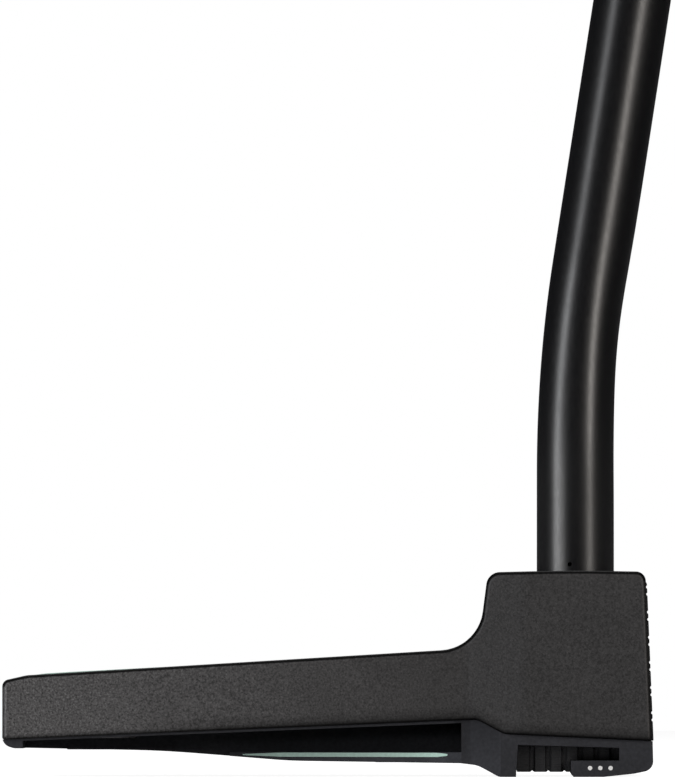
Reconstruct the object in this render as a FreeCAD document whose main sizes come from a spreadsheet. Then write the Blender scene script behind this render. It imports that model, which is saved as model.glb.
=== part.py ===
"""Mallet putter: a two-part head on a double-bend shaft with a pistol grip.

Millimetres.  +X points at the target, +Y from the toe to the heel, +Z up.  The origin is on the
ground, at the middle of the flat pad under the front of the sole, so the putter stands as it is
soled at address.  Every size below sits in the sheet "dims" and the features are bound to it.
"""
import FreeCAD, Part
import math
import os

import Sketcher
from FreeCAD import Placement, Rotation, Vector

doc = FreeCAD.newDocument("mallet_putter")
sheet = doc.addObject("Spreadsheet::Sheet", "dims")

# ---------------------------------------------------------------- driving dimensions
SIZES = {
    # head, seen from above
    "head_width": 98.0,           # toe to heel
    "rear_x": -72.1,              # back edge of the wings
    "waist_x": -15.5,             # narrowest place, just behind the front block
    "waist_inset": 0.8,
    "wing_bulge_x": -34.0,
    "wing_inset": 0.35,
    "flare_x": -8.5,
    "frame_inset": 0.5,           # the sole frame stands this much inside the upper body
    # head, seen from the toe
    "deck_rear_z": 12.24,
    "neck_x": -14.06,
    "neck_z": 15.74,
    "neck_radius": 5.4,
    "block_rear_x": -12.87,
    "block_top_z": 25.22,
    "block_shoulder_z": 24.97,
    "crown_x": -2.5,
    "crown_radius": 250.0,
    "loft": 2.39,                 # degrees
    "face_foot_x": 7.54,          # where the plane of the face meets the ground
    "joint_rear_z": 4.55,         # line where the upper body sits on the sole frame
    "joint_step_x": -14.2,
    "joint_step_z": 7.0,
    "joint_low_x": -10.9,
    "joint_low_z": 5.22,
    "joint_front_z": 4.37,
    "joint_slack": 0.01,          # the frame's top is this much lower at the front
    "wall_edge_radius": 0.6,
    "joint_edge_radius": 0.3,
    "wing_bulge_radius": 60.0,    # rounding of the corners of the plan
    "waist_radius": 5.0,
    "flare_radius": 8.0,
    "joint_round": 2.2,           # rounding of the corners of the side view
    "block_front_round": 1.2,
    "block_rear_round": 1.7,
    "deck_rear_round": 0.9,
    "deck_drop_x": -69.1,         # the deck falls off gently behind this
    "deck_drop": 0.5,
    "deck_drop_round": 3.0,
    "face_proud": 0.14,           # the insert stands this much in front of the body
    # pockets and cavities of the head
    "spine_halfwidth": 10.5,
    "rail_inner_y": 37.5,
    "pocket_front_x": -21.0,
    "pocket_rear_x": -67.0,
    "pocket_floor_z": 10.2,
    "pocket_corner_radius": 4.0,
    "keel_halfwidth": 21.5,
    "cavity_front_x": -16.1,
    "cavity_rear_x": -69.9,
    "cavity_roof_z": 8.2,
    "cavity_corner_radius": 2.0,
    # face insert
    "face_width": 95.2,
    "face_bottom_z": 4.42,
    "face_bottom_rise": 0.3,      # its lower edge slopes up towards the back
    "face_low_round": 0.12,
    "face_top_round": 0.7,
    "face_end_round": 0.5,
    "face_top_z": 24.1,
    "face_depth": 2.8,
    "face_glue": 0.2,
    "groove_pitch": 3.07,
    "groove_gap": 0.88,           # between the two grooves of a pair
    "groove_top_z": 22.74,        # middle of the uppermost pair
    "groove_depth": 0.13,
    "groove_mouth": 0.56,
    "groove_floor": 0.16,
    # sole frame
    "lead_edge_z": 2.1,
    "lip_rear_x": -2.75,
    "lip_top_z": 2.0,
    "channel_front_x": 3.15,
    "channel_rear_x": -9.2,
    "channel_front_z": 3.57,
    "channel_rear_z": 3.92,
    "pad_rear_x": -11.65,
    "pad_front_x": -9.43,
    "pad_corner_x": -11.5,
    "pad_hollow_x": -14.1,
    "pad_hollow_z": 1.42,
    "pad_hollow_radius": 3.0,
    "pad_corner_radius": 1.2,
    "keel_step_radius": 60.0,
    "keel_rise_radius": 120.0,
    "lead_low_radius": 6.0,
    "lead_corner_radius": 1.3,
    "keel_front_z": 1.66,
    "keel_step_x": -37.2,
    "keel_step_z": 1.95,
    "keel_rise_x": -53.0,
    "keel_rise_z": 3.17,
    "lip_chamfer_z": 0.55,
    "lip_toe_x": -2.4,
    "lead_flat_x": 1.2,
    "lead_low_x": 5.1,
    "lead_low_z": 0.42,
    "lead_corner_z": 0.9,
    "frame_front_gap": 0.12,
    "flange_rear_z": 2.52,
    "rear_gap": 0.03,             # the frame ends this far inside the body's back
    "rear_foot_z": 3.5,
    "rear_foot_radius": 1.3,
    "rear_foot_rise": 0.33,       # corners of the rounded foot, up from the underside and in from the back
    "rear_foot_run": 1.45,
    "rim_rear_z": 4.4,
    "rim_front_z": 6.62,
    # weight bar
    "bar_width": 94.0,
    "bar_bottom_z": 0.62,
    "bar_split_x": -2.83,
    "bar_play": 0.05,
    "rib_pitch": 1.96,
    "rib_first_x": -7.46,
    "rib_gap": 0.85,
    "rib_depth": 0.3,
    "rib_slope": 0.18,            # the gaps between the ribs narrow by this much towards their floor
    "bar_corner_radius": 0.12,
    "notch_halfwidth": 0.36,
    "notch_height": 0.2,
    # sole inlays, sight lines, marks
    "inlay_tip_x": -42.9,
    "inlay_full_x": -38.2,
    "inlay_front_x": -17.8,
    "inlay_low_z": 2.44,
    "inlay_high_z": 2.95,
    "inlay_width": 2.0,
    "inlay_tip_halfheight": 0.06,
    "inlay_round": 8.0,
    "inlay_end_round": 0.09,
    "inlay_end_halfheight": 0.11,
    "inlay_taper": 1.3,           # length of its blunt point
    "flange_top_z": 3.0,
    "flange_front_y": 47.2,
    "flange_rear_x": -44.5,
    "flange_rear_y": 29.0,
    "sight_width": 3.2,
    "sight_depth": 0.5,
    "sight_rise": 0.13,
    "sight_flush": 0.02,          # the paint stands this much above its groove
    "sight_rear_x": -69.2,
    "sight_peak_x": -67.5,
    "sight_high_x": -64.0,
    "sight_fade_x": -48.0,
    "sight_front_x": -21.06,
    "sight_fade_radius": 60.0,
    "sight_high_radius": 20.0,
    "sight_peak_radius": 2.0,
    "ball_line_depth": 0.3,
    "ball_line_end": 4.0,         # the lines stop this far from the ends of the wells
    "ball_line_corner": 0.4,
    "ball_line_y": 21.35,
    "ball_line_width": 1.2,
    "mark_radius": 0.27,
    "mark_depth": 0.3,
    "mark_proud": 0.03,
    "mark_first_x": -0.4,
    "mark_pitch": 1.25,
    "mark_z": 1.1,
    "badge_radius": 8.0,
    "badge_x": -29.5,
    "badge_low_z": 1.92,
    "badge_high_z": 2.72,
    # perimeter weights
    "weight_x": -60.0,
    "weight_y": 42.9,
    "weight_radius": 4.3,
    "weight_play": 0.3,
    "weight_low_z": 4.75,
    "weight_high_z": 10.4,
    "weight_socket": 1.6,
    "weight_socket_depth": 2.4,
    "weight_chamfer": 0.3,
    "weight_head": 1.2,           # plain head below the seal's groove
    "weight_groove_depth": 0.45,
    "weight_thread_start": 2.0,
    "weight_thread_depth": 0.35,
    "seal_radius": 0.3,
    # screws
    "screw_radius": 1.5,
    "screw_head_radius": 2.7,
    "frame_screw_y": 14.0,
    "frame_screw_front_x": -24.0,
    "frame_screw_front_z": 1.7,
    "frame_screw_rear_x": -62.0,
    "frame_screw_rear_z": 3.28,
    "frame_screw_length": 6.4,
    "bar_screw_length": 8.0,
    "bar_screw_x": -6.05,
    "bar_screw_y": 34.0,
    "bar_screw_recess": 0.3,      # the heads lie this much inside the bar's underside
    "screw_rim": 0.3,             # upright edge of a screw's head
    "screw_tip": 0.4,
    "screw_socket_depth": 1.3,
    # shaft: straight foot, two bends, straight and stepped top
    "shaft_x": -2.0,
    "shaft_y": 14.0,
    "shaft_radius": 4.79,
    "shaft_wall": 0.55,
    "bore_radius": 4.95,
    "bore_floor_z": 6.0,
    "glue_top_z": 24.6,
    "plug_length": 11.6,
    "bend_one_z": 37.3,
    "bend_one_radius": 70.0,
    "lean_forward": 0.1555,       # forward run per unit of height between the bends
    "lie_slope": 0.364,           # run towards the golfer per unit of height: 70 degrees of lie
    "bend_two_z": 132.7,
    "bend_two_radius": 120.0,
    "putter_length": 863.6,       # 34 inches along the shaft
    "step_count": 12.0,
    "step_pitch": 38.1,
    "step_height": 0.213,
    "butt_length": 105.0,
    "step_run": 0.6,              # height of the slope at each step
    "vent_radius": 0.25,
    "vent_offset": -0.72,
    "vent_z": 26.2,
    # grip
    "grip_length": 267.0,
    "grip_mouth_radius": 9.6,
    "grip_mid_radius": 11.2,
    "grip_top_radius": 13.2,
    "grip_flat": 8.4,
    "tape_thickness": 0.2,
    "cap_thickness": 3.2,
    "cap_radius": 13.5,
    "cap_vent_radius": 1.1,
    "cap_chamfer": 1.0,
    "cap_edge_round": 0.8,
    "cap_dome_width": 4.0,
    "cap_dome_round": 6.0,
    "band_gap": 12.0,             # shaft showing between the band and the grip
    "band_thickness": 0.12,
}
for row, (alias, size) in enumerate(SIZES.items(), start=1):
    sheet.set("A%d" % row, alias)
    sheet.set("B%d" % row, repr(size))
    sheet.setAlias("B%d" % row, alias)
doc.recompute()


def value(expression):
    """Number that an expression over the sheet's aliases stands for."""
    return float(sheet.evalExpression(bound(expression)))


def bound(expression):
    """The expression with every alias written as dims.alias."""
    words = []
    word = ""
    for letter in str(expression) + " ":
        if letter.isalnum() or letter in "_.":
            word += letter
            continue
        words.append("dims." + word if word in SIZES else word)
        words.append(letter)
        word = ""
    return "".join(words).strip()


def new_body(label):
    body = doc.addObject("PartDesign::Body", label)
    body.Label = label
    return body


def origin_plane(body, role):
    return [item for item in body.Origin.OriginFeatures if item.Role == role][0]


def new_sketch(body, name, role, lift=0):
    """Empty sketch on one of the body's origin planes, raised off it by lift."""
    sketch = body.newObject("Sketcher::SketchObject", body.Label + "_" + name)
    sketch.AttachmentSupport = (origin_plane(body, role), [""])
    sketch.MapMode = "FlatFace"
    if lift:
        sketch.setExpression("AttachmentOffset.Base.z", bound(lift))
    return sketch


def bind(sketch, kind, *args):
    """Constraint whose value follows an expression, given last."""
    index = sketch.addConstraint(Sketcher.Constraint(kind, *args[:-1], value(args[-1])))
    sketch.setExpression("Constraints[%d]" % index, bound(args[-1]))


def flat(point):
    return Vector(point[0], point[1], 0)


def add_loop(sketch, corners):
    """Closed loop through corners (across, up[, radius]), all expressions; a radius rounds one."""
    count = len(corners)
    first = sketch.GeometryCount
    spots = [Vector(value(corner[0]), value(corner[1]), 0) for corner in corners]
    rounds = [value(corner[2]) if len(corner) > 2 else 0 for corner in corners]
    ahead = []
    for here in range(count):
        run = spots[(here + 1) % count] - spots[here]
        ahead.append(run.normalize())
    reach = []
    turns = []
    for here in range(count):
        turn = ahead[here - 1].cross(ahead[here]).z
        angle = ahead[here - 1].getAngle(ahead[here])
        reach.append(rounds[here] * math.tan(angle / 2))
        turns.append((turn, angle))
    for here in range(count):
        start = spots[here] + ahead[here] * reach[here]
        end = spots[(here + 1) % count] - ahead[here] * reach[(here + 1) % count]
        sketch.addGeometry(Part.LineSegment(start, end))
    for here in range(count):
        before = first + (here - 1) % count
        after = first + here
        if not rounds[here]:
            sketch.addConstraint(Sketcher.Constraint("Coincident", before, 2, after, 1))
            bind(sketch, "DistanceX", after, 1, corners[here][0])
            bind(sketch, "DistanceY", after, 1, corners[here][1])
            continue
        turn, angle = turns[here]
        side = 1 if turn > 0 else -1
        inward = Vector(-ahead[here - 1].y, ahead[here - 1].x, 0) * side
        touch = spots[here] - ahead[here - 1] * reach[here]
        centre = touch + inward * rounds[here]
        leave = spots[here] + ahead[here] * reach[here]
        ends = (touch, leave) if side > 0 else (leave, touch)
        angles = [math.atan2(end.y - centre.y, end.x - centre.x) for end in ends]
        circle = Part.Circle(centre, Vector(0, 0, 1), rounds[here])
        arc = sketch.addGeometry(Part.ArcOfCircle(circle, angles[0], angles[1]))
        corner = sketch.addGeometry(Part.Point(spots[here]), True)
        arc_start, arc_end = (1, 2) if side > 0 else (2, 1)
        sketch.addConstraint(Sketcher.Constraint("PointOnObject", corner, 1, before))
        sketch.addConstraint(Sketcher.Constraint("PointOnObject", corner, 1, after))
        sketch.addConstraint(Sketcher.Constraint("Tangent", before, 2, arc, arc_start))
        sketch.addConstraint(Sketcher.Constraint("Tangent", arc, arc_end, after, 1))
        bind(sketch, "Radius", arc, corners[here][2])
        bind(sketch, "DistanceX", corner, 1, corners[here][0])
        bind(sketch, "DistanceY", corner, 1, corners[here][1])


def add_circle(sketch, across, up, radius):
    """Circle with a bound centre and radius."""
    circle = Part.Circle(Vector(value(across), value(up), 0), Vector(0, 0, 1), value(radius))
    index = sketch.addGeometry(circle)
    bind(sketch, "DistanceX", index, 3, across)
    bind(sketch, "DistanceY", index, 3, up)
    bind(sketch, "Radius", index, radius)


def box_corners(low_x, high_x, low_y, high_y, radius=None):
    corners = [(low_x, low_y), (high_x, low_y), (high_x, high_y), (low_x, high_y)]
    if radius:
        corners = [corner + (radius,) for corner in corners]
    return corners


def pad(body, sketch, length, both_ways=False):
    feature = body.newObject("PartDesign::Pad", sketch.Name + "_pad")
    feature.Profile = sketch
    feature.SideType = "Symmetric" if both_ways else "One side"
    feature.setExpression("Length", bound(length))
    sketch.Visibility = False
    doc.recompute()
    return feature


def pocket(body, sketch, depth=None, upward=False, both_ways=False):
    """Cut a sketch's loops out of the body; upward cuts along the sketch's normal."""
    before = body.Shape.Volume
    feature = body.newObject("PartDesign::Pocket", sketch.Name + "_cut")
    feature.Profile = sketch
    feature.SideType = "Symmetric" if both_ways else "One side"
    feature.Reversed = upward
    if depth is None:
        feature.Type = "ThroughAll"
    else:
        feature.setExpression("Length", bound(depth))
    doc.recompute()
    if body.Shape.Volume > before - 1e-4:
        raise RuntimeError(feature.Name + " cut nothing")
    return feature


def round_edges(body, name, radius, wanted):
    """Fillet every edge of the body for which wanted(edge) is true."""
    base = body.Tip
    names = ["Edge%d" % (i + 1) for i, edge in enumerate(base.Shape.Edges) if wanted(edge)]
    feature = body.newObject("PartDesign::Fillet", body.Label + "_" + name)
    feature.Base = (base, names)
    feature.setExpression("Radius", bound(radius))
    doc.recompute()
    return feature


def is_vertical(edge, x, tolerance=0.6):
    ends = [vertex.Point for vertex in edge.Vertexes]
    if len(ends) < 2:
        return False
    upright = abs(ends[0].y - ends[1].y) < 0.05 and abs(ends[0].z - ends[1].z) > 1.0
    return upright and all(abs(end.x - x) < tolerance for end in ends)


# ---------------------------------------------------------------- lines shared by several parts
def face_x(height, behind=0):
    """X of the face plane at a height, as an expression; behind moves it into the head."""
    return "face_foot_x - (%s) * tan(loft) - (%s)" % (height, behind)


def joint_z(x):
    """Height of the joint line between rear_x and joint_step_x."""
    slope = "(joint_step_z - joint_rear_z) / (joint_step_x - rear_x)"
    return "joint_rear_z + (%s - rear_x) * %s" % (x, slope)


def deck_z(x):
    """Height of the wings' top at x."""
    return "deck_rear_z + (%s - rear_x) * (neck_z - deck_rear_z) / (neck_x - rear_x)" % x


def plan_half(inset, flare_corner):
    """Toe half of the head's plan, rear to front, with the waist behind the front block."""
    edge = "-(head_width / 2 - (%s))" % inset
    return [
        ("rear_x - 10", edge),
        ("wing_bulge_x", "%s + wing_inset" % edge, "wing_bulge_radius"),
        ("waist_x", "%s + waist_inset" % edge, "waist_radius"),
        flare_corner(edge),
        ("face_foot_x + 10", edge),
    ]


def trim_to_plan(body, inset, flare_corner):
    """Cut away all that is outside the plan of the head."""
    toe = plan_half(inset, flare_corner)
    heel = [(corner[0], "-(%s)" % corner[1]) + corner[2:] for corner in reversed(toe)]
    sketch = new_sketch(body, "plan", "XY_Plane", "-10")
    add_loop(sketch, toe + heel)
    add_loop(sketch, box_corners("rear_x - 30", "face_foot_x + 30", "-head_width", "head_width"))
    pocket(body, sketch, "60", upward=True)


# ---------------------------------------------------------------- upper body of the head
def make_head_blank():
    """Upper body before the inserts are let into it."""
    body = new_body("head_blank")
    side = new_sketch(body, "side", "XZ_Plane")
    add_loop(side, [
        ("rear_x", "joint_rear_z"),
        ("joint_step_x", "joint_step_z", "joint_round"),
        ("joint_low_x", "joint_low_z", "joint_round"),
        (face_x("joint_front_z", "face_proud"), "joint_front_z"),
        (face_x("block_shoulder_z", "face_proud"), "block_shoulder_z + 0.08", "block_front_round"),
        ("crown_x", "block_top_z", "crown_radius"),
        ("block_rear_x", "block_shoulder_z", "block_rear_round"),
        ("neck_x", "neck_z", "neck_radius"),
        ("deck_drop_x", deck_z("deck_drop_x"), "deck_drop_round"),
        ("rear_x", "deck_rear_z - deck_drop", "deck_rear_round"),
    ])
    pad(body, side, "head_width", both_ways=True)
    trim_to_plan(body, "0", lambda edge: ("flare_x", edge, "flare_radius"))

    half = value("head_width") / 2
    round_edges(body, "wall_edges", "wall_edge_radius",
                lambda edge: is_vertical(edge, value("rear_x")))

    def is_joint_edge(edge):
        centre = edge.CenterOfMass
        low = centre.z < value("joint_step_z") + 0.3
        return low and abs(centre.y) > half - 2.5 and edge.Length > 1

    round_edges(body, "joint_edge", "joint_edge_radius", is_joint_edge)

    wells = new_sketch(body, "wells", "XY_Plane", "pocket_floor_z")
    cavities = new_sketch(body, "cavities", "XY_Plane")
    for side_y in (1, -1):
        across = sorted(((side_y * value("spine_halfwidth"), "%d * spine_halfwidth" % side_y),
                         (side_y * value("rail_inner_y"), "%d * rail_inner_y" % side_y)))
        add_loop(wells, box_corners("pocket_rear_x", "pocket_front_x",
                                    across[0][1], across[1][1], "pocket_corner_radius"))
        across = sorted(((side_y * value("keel_halfwidth"), "%d * keel_halfwidth" % side_y),
                         (side_y * value("rail_inner_y"), "%d * rail_inner_y" % side_y)))
        add_loop(cavities, box_corners("cavity_rear_x", "cavity_front_x",
                                       across[0][1], across[1][1], "cavity_corner_radius"))
    pocket(body, wells, "20", upward=True)
    pocket(body, cavities, "cavity_roof_z", upward=True)

    bore = new_sketch(body, "bore", "XY_Plane", "bore_floor_z")
    add_circle(bore, "shaft_x", "shaft_y", "bore_radius")
    pocket(body, bore, "30", upward=True)
    weight_bores = new_sketch(body, "weight_bores", "XY_Plane")
    for side_y in (1, -1):
        add_circle(weight_bores, "weight_x", "%d * weight_y" % side_y, "weight_radius + weight_play")
    pocket(body, weight_bores, "weight_high_z + 0.3", upward=True)
    return body


def frame_side():
    """Side view of the front sole: pad, channel for the weight bar, lip and leading edge."""
    return [
        ("cavity_front_x", joint_z("cavity_front_x")),
        ("cavity_front_x", "keel_front_z"),
        ("pad_hollow_x", "pad_hollow_z", "pad_hollow_radius"),
        ("pad_corner_x", "0", "pad_corner_radius"),
        ("pad_front_x", "0"),
        ("channel_rear_x", "channel_rear_z"),
        ("channel_front_x", "channel_front_z"),
        ("channel_front_x", "lip_top_z"),
        ("lip_rear_x", "lip_top_z"),
        ("lip_rear_x", "lip_chamfer_z"),
        ("lip_toe_x", "0"),
        ("lead_flat_x", "0"),
        ("lead_low_x", "lead_low_z", "lead_low_radius"),
        (face_x("lead_edge_z", "frame_front_gap"), "lead_corner_z", "lead_corner_radius"),
        (face_x("joint_front_z", "frame_front_gap"), "joint_front_z - joint_slack"),
        ("joint_low_x", "joint_low_z", "joint_round"),
        ("joint_step_x", "joint_step_z", "joint_round"),
    ]


def keel_line():
    """Underside of the keel from the front sole to the rear wall."""
    return [
        ("cavity_front_x", "keel_front_z"),
        ("keel_step_x", "keel_step_z", "keel_step_radius"),
        ("keel_rise_x", "keel_rise_z", "keel_rise_radius"),
        ("cavity_rear_x + 0.2", "rear_foot_z"),
    ]


def make_sole_blank():
    """Sole frame before its inserts: front sole, keel with its flange, rear wall and rims."""
    body = new_body("sole_blank")
    flange = new_sketch(body, "flange", "XZ_Plane")
    add_loop(flange, [
        ("cavity_front_x + 1", "keel_front_z"),
        ("keel_step_x", "keel_step_z", "keel_step_radius"),
        ("flange_rear_x", "flange_rear_z"),
        ("flange_rear_x", "flange_top_z"),
        ("cavity_front_x + 1", "flange_top_z"),
    ])
    pad(body, flange, "flange_front_y * 2", both_ways=True)
    slant = new_sketch(body, "slant", "XY_Plane", "-5")
    for side_y in (1, -1):
        sign = "%d * " % side_y
        add_loop(slant, [
            ("cavity_front_x", sign + "flange_front_y"),
            ("flange_rear_x - 1", sign + "flange_rear_y"),
            ("flange_rear_x - 1", sign + "60"),
            ("cavity_front_x", sign + "60"),
        ])
    pocket(body, slant, "20", upward=True)

    keel = new_sketch(body, "keel", "XZ_Plane")
    add_loop(keel, keel_line() + [
        ("cavity_rear_x + 0.2", joint_z("cavity_rear_x + 0.2")),
        ("cavity_front_x", joint_z("cavity_front_x")),
    ])
    pad(body, keel, "keel_halfwidth * 2", both_ways=True)
    front = new_sketch(body, "front", "XZ_Plane")
    add_loop(front, frame_side())
    pad(body, front, "head_width - frame_inset * 2", both_ways=True)
    back = new_sketch(body, "back", "XZ_Plane")
    add_loop(back, [
        ("rear_x + rear_gap + rear_foot_rise", "rear_foot_z + rear_foot_rise", "rear_foot_radius"),
        ("rear_x + rear_foot_run", "rear_foot_z", "rear_foot_radius"),
        ("cavity_rear_x + 0.3", "rear_foot_z"),
        ("cavity_rear_x + 0.3", joint_z("cavity_rear_x + 0.3")),
        ("rear_x + rear_gap", joint_z("rear_x + rear_gap")),
    ])
    pad(body, back, "head_width - frame_inset * 2", both_ways=True)
    for name, lift in (("toe_rim", "rail_inner_y"), ("heel_rim", "frame_inset - head_width / 2")):
        rim = new_sketch(body, name, "XZ_Plane", lift)
        add_loop(rim, [
            ("cavity_rear_x", "rim_rear_z"),
            ("cavity_front_x + 0.5", "rim_front_z"),
            ("cavity_front_x + 0.5", joint_z("cavity_front_x + 0.5")),
            ("cavity_rear_x", joint_z("cavity_rear_x")),
        ])
        pad(body, rim, "head_width / 2 - frame_inset - rail_inner_y")
    trim_to_plan(body, "frame_inset", lambda edge: ("pad_rear_x + 0.35", edge))

    holes = new_sketch(body, "weight_holes", "XY_Plane", "-1")
    for side_y in (1, -1):
        add_circle(holes, "weight_x", "%d * weight_y" % side_y, "weight_radius + weight_play")
    pocket(body, holes, "12", upward=True)
    return body


# ---------------------------------------------------------------- booleans between pieces
def cut(label, base, tools):
    """The base with a seat for every tool cut into it; the tools stay as they are."""
    for count, tool in enumerate(tools):
        step = doc.addObject("Part::Cut", "%s_seat_%d" % (label, count))
        step.Base = base
        step.Tool = tool
        doc.recompute()
        if step.Shape.Volume > base.Shape.Volume - 1e-4:
            raise RuntimeError("%s takes nothing out of %s" % (tool.Label, label))
        base = step
    base.Label = label
    return base


def group(label, pieces):
    """Several loose solids kept as one node."""
    compound = doc.addObject("Part::Compound", label)
    compound.Links = pieces
    compound.Label = label
    doc.recompute()
    return compound


def revolved(label, profile, place):
    """Solid of revolution about its own Z; profile is (radius, height) corners on the XZ plane."""
    body = new_body(label)
    sketch = new_sketch(body, "profile", "XZ_Plane")
    add_loop(sketch, profile)
    feature = body.newObject("PartDesign::Revolution", label + "_turn")
    feature.Profile = sketch
    feature.ReferenceAxis = (sketch, ["V_Axis"])
    feature.Angle = 360
    body.Placement = place
    doc.recompute()
    return body


def upright(x, y, z=0):
    return Placement(Vector(value(x), value(y), value(z)), Rotation())


# ---------------------------------------------------------------- face insert
def make_face_plate():
    """Grooved insert, built upright with its striking face at X = 0 and leant back by the loft."""
    body = new_body("face_plate")
    slope = "cos(loft)"
    low = "face_bottom_z / %s" % slope
    high = "face_top_z / %s" % slope
    side = new_sketch(body, "side", "XZ_Plane")
    add_loop(side, [
        ("-face_depth", low + " + face_bottom_rise"),
        ("0", low, "face_low_round"),
        ("0", high, "face_top_round"),
        ("-face_depth", high),
    ])
    pad(body, side, "face_width", both_ways=True)
    round_edges(body, "ends", "face_end_round", lambda edge: is_vertical(edge, 0, 0.1))
    pair = new_sketch(body, "groove_pair", "XZ_Plane")
    for offset in ("groove_gap / 2", "-groove_gap / 2"):
        middle = "groove_top_z / %s + %s" % (slope, offset)
        add_loop(pair, [
            ("0.2", middle + " + groove_mouth / 2 + 0.15"),
            ("-groove_depth", middle + " + groove_floor / 2"),
            ("-groove_depth", middle + " - groove_floor / 2"),
            ("0.2", middle + " - groove_mouth / 2 - 0.15"),
        ])
    grooves = pocket(body, pair, both_ways=True)
    rows = body.newObject("PartDesign::LinearPattern", "groove_rows")
    rows.Originals = [grooves]
    rows.Direction = (pair, ["V_Axis"])
    rows.Reversed = True
    rows.setExpression("Length", bound("groove_pitch * 5"))
    rows.Occurrences = 6
    body.Tip = rows
    body.Placement = Placement(Vector(value("face_foot_x"), 0, 0),
                               Rotation(Vector(0, 1, 0), -value("loft")))
    doc.recompute()
    return body


def make_face_adhesive():
    """Glue film behind the face insert."""
    body = new_body("face_adhesive")
    side = new_sketch(body, "side", "XZ_Plane")
    add_loop(side, box_corners("-face_depth - face_glue", "-face_depth",
                               "face_bottom_z / cos(loft) + face_bottom_rise",
                               "face_top_z / cos(loft)"))
    pad(body, side, "face_width", both_ways=True)
    body.Placement = Placement(Vector(value("face_foot_x"), 0, 0),
                               Rotation(Vector(0, 1, 0), -value("loft")))
    return body


def make_face_seat():
    """Tool for the recess of the insert and its glue, open at the bottom and the front."""
    body = new_body("face_seat")
    side = new_sketch(body, "side", "XZ_Plane")
    add_loop(side, box_corners("-face_depth - face_glue", "2", "0", "face_top_z / cos(loft)"))
    pad(body, side, "face_width", both_ways=True)
    body.Placement = Placement(Vector(value("face_foot_x"), 0, 0),
                               Rotation(Vector(0, 1, 0), -value("loft")))
    return body


# ---------------------------------------------------------------- pieces let into the sole
def channel_wall_x(height):
    """X of the sloping rear wall of the weight bar's channel at a height."""
    return "pad_front_x + (channel_rear_x - pad_front_x) * %s / channel_rear_z" % height


def make_weight_bar():
    """Bar that fills the sole channel, its front tongue over the lip and ribs on its ends."""
    body = new_body("weight_bar_blank")
    side = new_sketch(body, "side", "XZ_Plane")
    roof = "channel_rear_z - bar_play + (%s - channel_rear_x)"
    roof += " * (channel_front_z - channel_rear_z) / (channel_front_x - channel_rear_x)"
    add_loop(side, [
        (channel_wall_x("bar_bottom_z") + " + bar_play", "bar_bottom_z", "bar_corner_radius"),
        ("bar_split_x", "bar_bottom_z", "bar_corner_radius"),
        ("bar_split_x", "lip_top_z + bar_play"),
        ("channel_front_x - bar_play", "lip_top_z + bar_play"),
        ("channel_front_x - bar_play", roof % "(channel_front_x - bar_play)"),
        ("channel_rear_x + bar_play", roof % "(channel_rear_x + bar_play)"),
    ])
    pad(body, side, "bar_width", both_ways=True)
    gaps = new_sketch(body, "rib_gap", "XY_Plane")
    for end in (1, -1):
        outer = "%d * (bar_width / 2 + 0.1)" % end
        inner = "%d * (bar_width / 2 - rib_depth)" % end
        add_loop(gaps, [
            ("rib_first_x - rib_gap / 2", outer),
            ("rib_first_x - rib_gap / 2 + rib_slope", inner),
            ("rib_first_x + rib_gap / 2 - rib_slope", inner),
            ("rib_first_x + rib_gap / 2", outer),
        ])
    rib_cut = pocket(body, gaps, "10", upward=True)
    row = body.newObject("PartDesign::LinearPattern", "rib_row")
    row.Originals = [rib_cut]
    row.Direction = (gaps, ["H_Axis"])
    row.setExpression("Length", bound("rib_pitch * 5"))
    row.Occurrences = 6
    body.Tip = row
    doc.recompute()
    notch = new_sketch(body, "notch", "XZ_Plane")
    add_loop(notch, [
        ("rib_first_x - notch_halfwidth", "bar_bottom_z - 0.1"),
        ("rib_first_x + notch_halfwidth", "bar_bottom_z - 0.1"),
        ("rib_first_x", "bar_bottom_z + notch_height"),
    ])
    notch_cut = pocket(body, notch, both_ways=True)
    notches = body.newObject("PartDesign::LinearPattern", "notch_row")
    notches.Originals = [notch_cut]
    notches.Direction = (notch, ["H_Axis"])
    notches.setExpression("Length", bound("rib_pitch * 2"))
    notches.Occurrences = 3
    body.Tip = notches
    doc.recompute()
    return body


def make_sole_inlay(side_y, label):
    """Thin coloured strip let into one slanted edge of the sole flange."""
    body = new_body(label)
    side = new_sketch(body, "side", "XZ_Plane")
    middle = "(inlay_low_z + inlay_high_z) / 2"
    add_loop(side, [
        ("inlay_tip_x", middle + " - inlay_tip_halfheight"),
        ("inlay_full_x", "inlay_low_z", "inlay_round"),
        ("inlay_front_x - inlay_taper", "inlay_low_z"),
        ("inlay_front_x", middle + " - inlay_end_halfheight", "inlay_end_round"),
        ("inlay_front_x", middle + " + inlay_end_halfheight", "inlay_end_round"),
        ("inlay_front_x - inlay_taper", "inlay_high_z"),
        ("inlay_full_x", "inlay_high_z", "inlay_round"),
        ("inlay_tip_x", middle + " + inlay_tip_halfheight"),
    ])
    pad(body, side, "head_width", both_ways=True)
    sign = "%d * " % side_y
    front_y = "(flange_front_y + 0.05)"
    rear_y = "(flange_rear_y + 0.05)"
    edge = new_sketch(body, "edge", "XY_Plane", "-5")
    add_loop(edge, [
        ("cavity_front_x", sign + front_y),
        ("flange_rear_x - 1", sign + rear_y),
        ("flange_rear_x - 1", sign + "70"),
        ("cavity_front_x", sign + "70"),
    ])
    add_loop(edge, [
        ("cavity_front_x + 2", sign + "-70"),
        ("cavity_front_x + 2", sign + "(flange_front_y - inlay_width + 1.3)"),
        ("cavity_front_x", sign + "(flange_front_y - inlay_width)"),
        ("flange_rear_x - 1", sign + "(flange_rear_y - inlay_width)"),
        ("flange_rear_x - 1", sign + "-70"),
    ])
    pocket(body, edge, "20", upward=True)
    return body


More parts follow.
